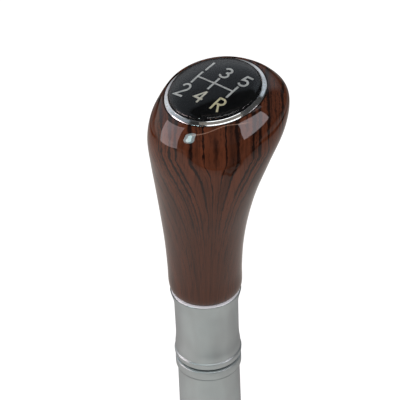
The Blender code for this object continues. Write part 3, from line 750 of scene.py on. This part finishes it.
def makeDial():
    size = dial
    outer, inner = size["radius"], size["radius"] - size["width"]
    discRadius = inner - clearance
    plateLow = -size["seat"] + size["pad"] + clearance
    marksLevel = plateLow + size["plate"] + clearance
    faceLevel = marksLevel - size["faceDrop"]
    plate = softened([(0, plateLow), (discRadius, plateLow), (discRadius, faceLevel, size["plateRound"]),
                      (0, faceLevel)])
    addPiece("dial_face", turnedShape(plate, size["segments"], False), "dial", "dial_plate",
             dialPlace)

    domeLow = marksLevel - size["domeDrop"]
    rimLevel = marksLevel + size["marks"] + clearance + size["domeEdge"]
    turns = [math.pi / 2 * step / size["domeSteps"] for step in range(size["domeSteps"])]
    dome = [(discRadius * math.cos(turn), rimLevel + size["crown"] * math.sin(turn)) for turn in turns]
    outline = [(0, domeLow), (discRadius, domeLow), *dome, (0, rimLevel + size["crown"])]
    addPiece("dial_dome", turnedShape(outline, size["segments"], False), "resin", "dial_lens",
             dialPlace)

    top, foot = size["proud"], -size["seat"]
    outline = softened([
        (inner, foot), *cornersFrom(inner, top, size["innerEdge"]),
        *cornersFrom(outer, top - size["outerFall"], size["outerEdge"]), (outer, foot)])
    addPiece("bezel_chrome", turnedShape(outline, size["segments"]), "chrome", "bezel_ring",
             dialPlace)


makeDial()
print("dial made")


# Collars. Their edges are corners set off from a radius and a height: how far out, how far up, fillet.

upperCollar = {
    "neck": 0.0133,
    "neckRound": 0.0026,
    "waist": 0.0131,
    "waistEdge": ((0.0001, -0.0017, 0.0016), (0.0, 0.0012, 0.0010)),  # from the top of the skirt
    "lip": 0.0146,
    "lipHeight": 0.0060,
    "lipEdge": ((-0.0002, -0.0022, 0.0016), (0.0, -0.0012, 0.0004), (-0.0004, -0.0005, 0.0001),
                (-0.0011, -0.00005, 0.00004), (-0.0012, 0.0)),  # from the foot of the wood
    "skirt": 0.0140,
    "skirtHeight": 0.0104,
    "skirtEdge": ((-0.0003, 0.0, 0.0005), (-0.0001, 0.0010, 0.0006)),  # from the foot of the skirt
    "skirtStep": 0.0030,  # from the foot of the skirt to the fine step round it
    "stepEdge": ((0.0, -0.0004, 0.0003), (-0.0005, 0.0001, 0.0001), (-0.0004, 0.0022, 0.0012)),
    "bevelHeight": 0.0026,
    "bevelSeat": 0.0012,
    "bevelRound": 0.0003,
    "crest": 0.0104,
    "pitch": 0.00125,
    "depth": 0.00077,
    "threadLead": 0.0006,  # chamfer below the thread
    "threadEnd": 0.0004,  # plain stretch above it
    "counterbore": 0.0068,
    "web": 0.0050,
    "boltHole": 0.0028,
    "segments": 96,
    "stepsPerPitch": 8,
}


def makeUpperCollar():
    size = upperCollar
    crest, lead = size["crest"], size["threadLead"]
    bevel = sleeveTop - size["bevelSeat"]
    skirtFoot = bevel + size["bevelHeight"]
    webTop = tenonFoot - clearance
    webFoot = webTop - size["web"]
    bore = knob["tenon"] + clearance
    threadLow, threadHigh = stubFoot + lead, bevel - size["threadEnd"]
    outline = [(size["counterbore"], stubFoot), (crest - lead, stubFoot)]
    outline += [(crest, height) for height in
                threadRuns(threadLow, threadHigh, size["pitch"], size["stepsPerPitch"])]
    outline += softened([
        (crest, threadHigh), (crest, bevel, size["bevelRound"]),
        *cornersFrom(size["skirt"], skirtFoot, size["skirtEdge"]),
        *cornersFrom(size["skirt"], skirtFoot + size["skirtStep"], size["stepEdge"]),
        *cornersFrom(size["waist"], skirtFoot + size["skirtHeight"], size["waistEdge"]),
        (size["neck"], woodFoot - size["lipHeight"], size["neckRound"]),
        *cornersFrom(size["lip"], woodFoot, size["lipEdge"])])[1:]
    outline += [(bore, woodFoot), (bore, webTop), (size["boltHole"], webTop), (size["boltHole"], webFoot),
                (size["counterbore"], webFoot)]
    shape = turnedShape(outline, size["segments"])
    cutThread(shape, crest, size["depth"], size["pitch"], threadLow, threadHigh)
    addPiece("upper_sleeve", shape, "satinBareAndPaintedHighlight", "upper_collar")


lowerCollar = {
    "radius": 0.0129,
    "footEdge": ((0.0004, 0.0, 0.0004), (0.0004, 0.0027, 0.0004), (0.0, 0.0032, 0.0004)),
    "rimEdge": ((0.0, -0.0050, 0.0008), (0.0008, -0.0042, 0.0008), (0.0008, 0.0, 0.0007)),
    "mouth": 0.0018,  # how far its countersunk mouth is wider than the stub
    "mouthRound": 0.0003,
    "threadGap": 0.00025,
    "threadTop": 0.0017,  # below its top
    "turnsBelow": 1.5,  # of the thread under the stub
    "chamber": 0.0110,
    "chamberEdge": 0.0005,
    "bore": 0.0109,
    "segments": 96,
}


def makeLowerCollar():
    size, pitch = lowerCollar, upperCollar["pitch"]
    mouth = upperCollar["crest"] + size["mouth"] + clearance
    thread = upperCollar["crest"] + size["threadGap"]
    threadTop, threadLow = sleeveTop - size["threadTop"], stubFoot - pitch * size["turnsBelow"]
    shoulder = upperTop + clearance
    outline = softened([
        (size["bore"], shoulder), (size["bore"], sleeveFoot),
        *cornersFrom(size["radius"], sleeveFoot, size["footEdge"]),
        *cornersFrom(size["radius"], sleeveTop, size["rimEdge"]),
        (mouth, sleeveTop, size["mouthRound"]), (thread, threadTop)])
    outline += [(thread, height) for height in
                reversed(threadRuns(threadLow, threadTop, pitch, upperCollar["stepsPerPitch"]))][1:]
    outline += [(size["chamber"], threadLow - size["chamberEdge"]), (size["chamber"], shoulder)]
    shape = turnedShape(outline, size["segments"])
    cutThread(shape, thread, upperCollar["depth"], pitch, threadLow, threadTop)
    addPiece("lower_sleeve", shape, "satin", "lower_collar")


makeUpperCollar()
makeLowerCollar()
print("collars made")


# Shafts, the ring between them and the stud that joins them

shaft = {
    "tip": 0.0060,
    "tipEdge": 0.0003,
    "seam": 0.0097,
    "top": 0.0106,
    "taperPower": 1.2,
    "stations": 40,
    "edge": 0.0006,
    "edgeShare": 0.3,  # where its one corner lies on the way round the edge
    "studHole": 0.0042,
    "socketHole": 0.00725,
    "segments": 72,
}
seamRing = {
    "proud": 0.0002,
    "edge": 0.0004,
    # the groove round its middle: how far out from its rim, how far up, fillet
    "groove": ((0.0, -0.0004, 0.0001), (-0.0003, -0.0002, 0.0001), (-0.0003, 0.0002, 0.0001),
               (0.0, 0.0004, 0.0001)),
}
stud = {
    "crest": 0.0049,
    "depth": 0.0010,
    "pitch": 0.0020,
    "anchor": 0.0220,
    "chamfer": 0.0004,
    "neck": 0.0010,  # from its shank to the thread
    "segments": 64,
    "stepsPerPitch": 10,
}


def lowerRadius(height):
    share = (height - tipFoot) / (lowerTop - tipFoot)
    return shaft["tip"] + (shaft["seam"] - shaft["tip"]) * share ** shaft["taperPower"]


def makeShafts():
    edge, hole, socket, count = shaft["edge"], shaft["studHole"], shaft["socketHole"], shaft["stations"]
    inset = edge * shaft["edgeShare"]
    anchorFoot = lowerTop - stud["anchor"]
    heights = [tipFoot + (lowerTop - edge - tipFoot) * step / count for step in range(1, count + 1)]
    outline = [(0, tipFoot), (shaft["tip"] - shaft["tipEdge"], tipFoot)]
    outline += [(lowerRadius(height), height) for height in heights]
    outline += [(shaft["seam"] - inset, lowerTop - inset), (shaft["seam"] - edge, lowerTop),
                (hole, lowerTop), (hole, anchorFoot), (0, anchorFoot)]
    addPiece("lower_stick", turnedShape(outline, shaft["segments"], False), "lacquer", "lower_shaft")

    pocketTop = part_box("coupling_socket")[1].z + clearance
    outline = softened([
        (0, pocketTop), (socket, pocketTop), (socket, upperFoot), (shaft["seam"], upperFoot, edge),
        (shaft["top"], sleeveFoot), (shaft["top"], upperTop, edge), (0, upperTop)])
    addPiece("upper_stick", turnedShape(outline, shaft["segments"], False), "lacquer", "upper_shaft")

    rim, bore = shaft["seam"] + seamRing["proud"], stud["crest"] + clearance
    outline = softened([
        (bore, seamFoot), (rim, seamFoot, seamRing["edge"]),
        *cornersFrom(rim, (seamFoot + seamTop) / 2, seamRing["groove"]),
        (rim, seamTop, seamRing["edge"]), (bore, seamTop)])
    addPiece("seam_band", turnedShape(outline, shaft["segments"]), "seam", "seam_ring")


def makeStud():
    foot, top = (corner.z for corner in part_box("coupling_stud"))
    crest, depth, pitch, chamfer = stud["crest"], stud["depth"], stud["pitch"], stud["chamfer"]
    threadLow, threadHigh = seamFoot, top - depth
    shank = crest - depth
    outline = [(0, foot), (shank - chamfer, foot), (shank, foot + chamfer), (shank, threadLow - stud["neck"])]
    outline += [(crest, height) for height in threadRuns(threadLow, threadHigh, pitch, stud["stepsPerPitch"])]
    outline += [(shank, top), (0, top)]
    shape = turnedShape(outline, stud["segments"], False)
    cutThread(shape, crest, depth, pitch, threadLow, threadHigh)
    addPiece("brass_stud", shape, "brass", "coupling_stud")


makeShafts()
makeStud()
print("shafts made")


# Rubber tip

ferrule = {
    "height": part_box("rubber_ferrule")[1].z,
    "floor": 0.0085,
    "belly": 0.0040,
    "mouth": 0.0010,
    "mouthRound": 0.0003,
    "flare": 2.4,
    "footRound": 0.0042,
    "lipHeight": 0.0035,
    "lipEdge": ((0.0, 0.0), (-0.0002, 0.0002, 0.0001), (0.0, 0.0006, 0.0003)),  # out, up and fillet
    "lipRound": 0.0006,
    "grooves": (0.0021, 0.0041),  # radii of the two rings in its sole
    "groove": 0.0005,  # their depth and half of their width
    "grooveFloor": 0.0003,  # and half of the width of their bottom
    "footSteps": 10,
    "sideSteps": 16,
    "segments": 72,
}


def makeFerrule():
    size = ferrule
    top, foot, groove = size["height"], size["footRound"], size["groove"]
    bore = shaft["tip"] + clearance
    mouth = lowerRadius(top) + clearance
    belly, throat = bore + size["belly"], mouth + size["mouth"]
    neck = top - size["lipHeight"]
    grooves = []
    for centre in size["grooves"]:
        grooves += [(centre - groove, 0), (centre - size["grooveFloor"], groove),
                    (centre + size["grooveFloor"], groove), (centre + groove, 0)]
    turns = [math.radians(-90 + 90 * step / size["footSteps"]) for step in range(size["footSteps"] + 1)]
    lowEdge = [(belly - foot + foot * math.cos(turn), foot + foot * math.sin(turn)) for turn in turns]
    shares = [step / size["sideSteps"] for step in range(1, size["sideSteps"] + 1)]
    sides = [(belly + (throat - belly) * share ** size["flare"], foot + (neck - foot) * share)
             for share in shares]
    lip = softened([*cornersFrom(throat, neck, size["lipEdge"]), (throat, top, size["lipRound"]),
                    (mouth, top, size["mouthRound"]), (bore, tipFoot)])
    outline = [(0, 0), *grooves, *lowEdge, *sides, *lip[1:], (bore, size["floor"]), (0, size["floor"])]
    addPiece("rubber_tip", turnedShape(outline, size["segments"], False), "rubber", "rubber_ferrule")


makeFerrule()
print("rubber tip made")


# Finishes of the nodes that keep their own shape

keptNodes = {
    "ferrule_washer": "steel", "coupling_socket": "brass", "bolt_washer": "steel", "handle_bolt": "steel",
    "knob_insert": "brass", "dial_pad": "foam", "shift_gate": "foil", "numeral_1": "foil",
    "numeral_2": "foil", "numeral_3": "foil", "numeral_4": "creamFoil", "numeral_5": "foil",
    "letter_R": "paleGoldFoil",
}
for name, finish in keptNodes.items():
    slots = frame["nodes"][name].data.materials
    slots.clear()
    slots.append(finishes[finish])
print("kept nodes finished:", len(keptNodes))


# Floor, light and background

studio = {
    "floorRadius": 60.0,
    "floorSegments": 96,
    "floorColour": (0.72, 0.72, 0.72),
    "floorGlow": 0.64,  # what the camera sees of the floor, beside the light that falls on it
    # what shines in the lacquer: a pale sheet on the floor with a dark edge
    "sheetCentre": (-1.60, -0.10, 0),
    "sheetReach": (3.10, 1.80, 1),
    "sheetSquareness": 6.0,  # 2 is an ellipse, and more is a rectangle with rounder corners
    "sheetShine": 0.60,
    "sheetLeast": 0.2,
    "sheetDimming": 0.11,  # for each metre behind the cane
    "sheetColour": (1.0, 0.925, 0.87),
    "sheetEdge": ((0.36, 1.0), (0.490, 0.55), (0.500, 0.0), (0.540, 0.0), (0.550, 0.62), (0.80, 0.45),
                  (1.0, 0.15)),
    # it dims towards its front edge, and the floor before that edge is dark
    "frontDimming": (-1.90, -0.50, 0.80, 1.0),
    "frontDark": (-1.98, -1.93, 0.25, 1.0),
    # a dark swirl across its front edge
    "stainPlace": (0.10, -1.75, 0),
    "stainReach": (0.55, 0.42, 1),
    "stainGrain": (4.0, 2.0),
    "stainWaves": 0.9,
    "stainRings": ((0.30, 1.0), (0.36, 0.1), (0.44, 0.9), (0.52, 0.9), (0.58, 0.1), (0.64, 0.1), (0.70, 1.0)),
    # the floor far off to the left and behind
    "farLeft": (-1.6, -2.8, 0.0, 0.62),
    "farBehind": (0.3, 1.2),
    # the room: angles are in degrees from straight behind the cane, and the left is positive
    "ambient": 0.52,
    "roomShine": 0.06,
    "backdrop": ((0.0, 0.20), (0.12, (0.27, 0.28, 0.30)), (0.24, (0.56, 0.58, 0.61)),
                 (0.42, (0.68, 0.72, 0.77)), (0.55, (0.46, 0.50, 0.55)), (0.66, (0.31, 0.34, 0.38)),
                 (0.775, (0.24, 0.27, 0.30)), (0.805, 0.03)),
    "backdropLeft": (88, 102),
    "backdropRight": (-42, -52),
    # low on its left it is brighter, and on its right it is darker below and brighter above
    "lowLeft": (18, 34),
    "lowLeftHeights": (0.16, 0.30, 1.0, 0.0),
    "lowLeftColour": (0.62, 0.59, 0.64),
    "farRight": (-12, -26),
    "farRightGain": (0.50, 0.75, 0.7, 1.9),
    # in front a shelf edge draws one fine warm line
    "shelf": (128, 138),
    "shelfHeight": 0.19,
    "shelfEdge": (0.003, 0.009, 1.0, 0.0),
    "shelfColour": (5.0, 3.2, 2.4),
}
lamps = {
    # azimuth and elevation from the knob, roll, distance, width and height, radiance, colour
    "rightWindow": (34.0, 13.5, 15.0, 1.3, 1.08, 0.30, 3.5, (1.0, 0.91, 0.96)),
    "sideHigh": (56.0, 38.0, 0.0, 1.3, 0.50, 0.26, 0.8, (1.0, 0.92, 0.95)),
    "leftWindow": (-104.0, 5.0, 11.0, 1.3, 0.90, 0.78, 2.8, (1.0, 0.80, 0.82)),
    "bulbGlow": (-68.0, 11.5, 6.0, 1.3, 0.40, 0.16, 6.0, (0.66, 0.94, 1.0)),
    "bulb": (-68.5, 11.2, 6.0, 1.25, 0.20, 0.07, 10.0, (0.78, 1.0, 1.0)),
    "overhead": (-20.0, 52.0, 0.0, 1.4, 1.40, 0.80, 1.6, (1.0, 1.0, 1.0)),
    "ceiling": (-110.0, 83.0, 0.0, 1.3, 0.22, 0.95, 0.19, (1.0, 0.90, 0.78)),
}


def placeWithin(tree, place, centre, reach):
    offset = vectorMath(tree, "SUBTRACT", {0: place, 1: centre})
    return vectorMath(tree, "DIVIDE", {0: offset, 1: reach})


def sheetShine(tree, place):
    # a rounded rectangle, from its centre at 0 through its edge at 0.5
    parts = separated(tree, placeWithin(tree, place, studio["sheetCentre"], studio["sheetReach"]))
    power = studio["sheetSquareness"]
    powers = [calculate(tree, "POWER", calculate(tree, "ABSOLUTE", parts[axis]), power) for axis in "XY"]
    away = calculate(tree, "POWER", calculate(tree, "ADD", *powers), 1 / power)
    edge = colourRamp(tree, product(tree, away, 0.5), studio["sheetEdge"])
    ground = separated(tree, place)
    behind = calculate(tree, "MAXIMUM", ground["Y"], 0.0)
    near = calculate(tree, "MULTIPLY_ADD", behind, -studio["sheetDimming"], studio["sheetShine"])
    near = calculate(tree, "MAXIMUM", near, studio["sheetLeast"])
    fronts = [remap(tree, ground["Y"], *studio[name]) for name in ("frontDimming", "frontDark")]

    # the distance is halved, because a ramp ends at 1
    stain = placeWithin(tree, place, studio["stainPlace"], studio["stainReach"])
    away = vectorMath(tree, "LENGTH", {0: stain}, "Value")
    waves = noise(tree, place, *studio["stainGrain"])
    away = calculate(tree, "MULTIPLY_ADD", waves, studio["stainWaves"], away)
    swirl = colourRamp(tree, product(tree, away, 0.5), studio["stainRings"])
    farLeft = product(tree, remap(tree, ground["X"], *studio["farLeft"]),
                      remap(tree, ground["Y"], *studio["farBehind"]))
    return calculate(tree, "MAXIMUM", product(tree, near, *fronts, edge, swirl), farLeft)


def makeFloor():
    shape = bmesh.new()
    bmesh.ops.create_circle(shape, cap_ends=True, segments=studio["floorSegments"],
                            radius=studio["floorRadius"])
    mesh = bpy.data.meshes.new("floor")
    shape.to_mesh(mesh)
    shape.free()
    floor = addObject("floor", mesh)
    made, tree, shader, place = startMaterial("paleFloor", {
        "Base Color": studio["floorColour"], "Roughness": 0.9, "Specular IOR Level": 0.1})
    rays = addNode(tree, "ShaderNodeLightPath").outputs
    glow = addNode(tree, "ShaderNodeEmission", {"Strength": studio["floorGlow"]})
    glowing = addNode(tree, "ShaderNodeAddShader", {0: shader.outputs[0], 1: glow.outputs[0]})
    seen = calculate(tree, "MAXIMUM", rays["Is Camera Ray"], rays["Is Transmission Ray"])
    plain = mixShaders(tree, seen, shader, glowing)
    mirrored = addNode(tree, "ShaderNodeEmission", {
        "Color": (*studio["sheetColour"], 1), "Strength": sheetShine(tree, place)})
    mix = mixShaders(tree, rays["Is Glossy Ray"], plain, mirrored)
    connect(tree, tree.nodes["Material Output"], {"Surface": mix.outputs[0]})
    mesh.materials.append(made)


def makeLamps():
    for name, (azimuth, elevation, roll, distance, width, height, radiance, colour) in lamps.items():
        data = bpy.data.lights.new(name, "AREA")
        data.shape = "ELLIPSE" if name.startswith("bulb") else "RECTANGLE"
        data.size, data.size_y = width, height
        area = width * height * (math.pi / 4 if data.shape == "ELLIPSE" else 1.0)
        data.energy = radiance * area * math.pi
        data.color = colour
        lamp = addObject(name, data)
        lamp.visible_camera = False
        towards = direction(azimuth, elevation)
        facing = towards.to_track_quat("Z", "Y").to_matrix().to_4x4()
        lamp.matrix_world = (Matrix.Translation(camera["aim"] + towards * distance) @ facing
                             @ Matrix.Rotation(math.radians(roll), 4, "Z"))


def sweep(tree, aside, angles, *ends):
    # a ramp between two angles in degrees
    return remap(tree, aside, *(math.radians(angle) for angle in angles), *ends)


def makeWorld():
    world = bpy.data.worlds.new("studio")
    bpy.context.scene.world = world
    world.use_nodes = True
    tree = world.node_tree
    tree.nodes.clear()
    rays = addNode(tree, "ShaderNodeLightPath").outputs
    sky = addNode(tree, "ShaderNodeTexCoord").outputs["Generated"]
    # behind the cane the backdrop shines in the dial up to a height, and the rest of the room is dark
    far = direction(camera["azimuth"] + 180, 0.0)
    parts = separated(tree, turnedAbout(tree, sky, -math.atan2(far.y, far.x)))
    height, aside = parts["Z"], calculate(tree, "ARCTAN2", parts["Y"], parts["X"])
    backdrop = colourRamp(tree, height, studio["backdrop"])
    lowLeft = product(tree, sweep(tree, aside, studio["lowLeft"]),
                      remap(tree, height, *studio["lowLeftHeights"]))
    backdrop = blendColours(tree, lowLeft, backdrop, studio["lowLeftColour"])
    extra = calculate(tree, "SUBTRACT", remap(tree, height, *studio["farRightGain"]), 1.0)
    gain = calculate(tree, "MULTIPLY_ADD", sweep(tree, aside, studio["farRight"]), extra, 1.0)
    backdrop = vectorMath(tree, "SCALE", {0: backdrop, "Scale": gain})
    facing = product(tree, sweep(tree, aside, studio["backdropLeft"], 1.0, 0.0),
                     sweep(tree, aside, studio["backdropRight"], 1.0, 0.0))
    room = blendColours(tree, facing, (studio["roomShine"],) * 3, backdrop)

    offset = calculate(tree, "ABSOLUTE", calculate(tree, "SUBTRACT", height, studio["shelfHeight"]))
    front = sweep(tree, calculate(tree, "ABSOLUTE", aside), studio["shelf"])
    shelf = product(tree, remap(tree, offset, *studio["shelfEdge"]), front)
    room = blendColours(tree, shelf, room, studio["shelfColour"])

    mirrored = addNode(tree, "ShaderNodeBackground", {"Color": room})
    plain = addNode(tree, "ShaderNodeBackground", {"Color": (1, 1, 1, 1), "Strength": studio["ambient"]})
    white = addNode(tree, "ShaderNodeBackground", {"Color": (1, 1, 1, 1)})
    seen = calculate(tree, "MAXIMUM", rays["Is Camera Ray"], rays["Is Transmission Ray"])
    unlit = mixShaders(tree, rays["Is Glossy Ray"], plain, mirrored)
    mix = mixShaders(tree, seen, unlit, white)
    connect(tree, addNode(tree, "ShaderNodeOutputWorld"), {"Surface": mix.outputs[0]})


makeFloor()
makeLamps()
makeWorld()
bpy.context.scene.view_settings.view_transform = "Standard"
print("studio made")
